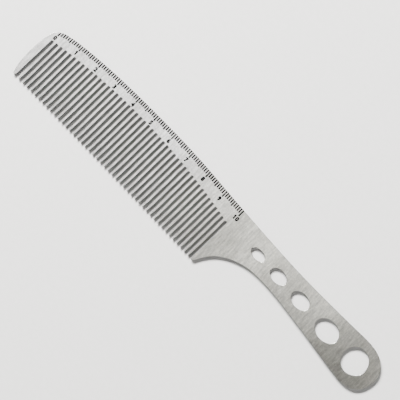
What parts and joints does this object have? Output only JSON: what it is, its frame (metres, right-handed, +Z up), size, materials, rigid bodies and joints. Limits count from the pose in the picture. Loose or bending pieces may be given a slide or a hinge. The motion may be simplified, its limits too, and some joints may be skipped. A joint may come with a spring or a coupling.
{
  "type": "barber comb",
  "caption": "Flat stainless steel barber's comb: fine pointed teeth between a rounded guard and a heel, an etched ruler along its back, and a waisted handle with oval holes and a hanging hole",
  "frame": {"origin": "the middle of the comb's bounding box in plan, on its lower face, as it lies flat with the ruler up", "axes": "+X along the comb from its rounded guard to the hanging hole in its handle, +Y from the teeth's tips to the back edge with the ruler, +Z up out of the ruler face"},
  "size_m": [0.1874, 0.0304, 0.001],
  "materials": {
    "blank_steel": "satin",
    "black_enamel": "satin"
  },
  "bodies": {
    "root": {"comb_blank": "blank_steel", "mark_000_mm": "black_enamel", "mark_005_mm": "black_enamel", "mark_010_mm": "black_enamel", "mark_015_mm": "black_enamel", "mark_020_mm": "black_enamel", "mark_025_mm": "black_enamel", "mark_030_mm": "black_enamel", "mark_035_mm": "black_enamel", "mark_040_mm": "black_enamel", "mark_045_mm": "black_enamel", "mark_050_mm": "black_enamel", "mark_055_mm": "black_enamel", "mark_060_mm": "black_enamel", "mark_065_mm": "black_enamel", "mark_070_mm": "black_enamel", "mark_075_mm": "black_enamel", "mark_080_mm": "black_enamel", "mark_085_mm": "black_enamel", "mark_090_mm": "black_enamel", "mark_095_mm": "black_enamel", "mark_100_mm": "black_enamel", "numeral_0": "black_enamel", "numeral_1": "black_enamel", "numeral_2": "black_enamel", "numeral_3": "black_enamel", "numeral_4": "black_enamel", "numeral_5": "black_enamel", "numeral_6": "black_enamel", "numeral_7": "black_enamel", "numeral_8": "black_enamel", "numeral_9": "black_enamel", "numeral_10_one": "black_enamel", "numeral_10_zero": "black_enamel"}
  },
  "joints": []
}
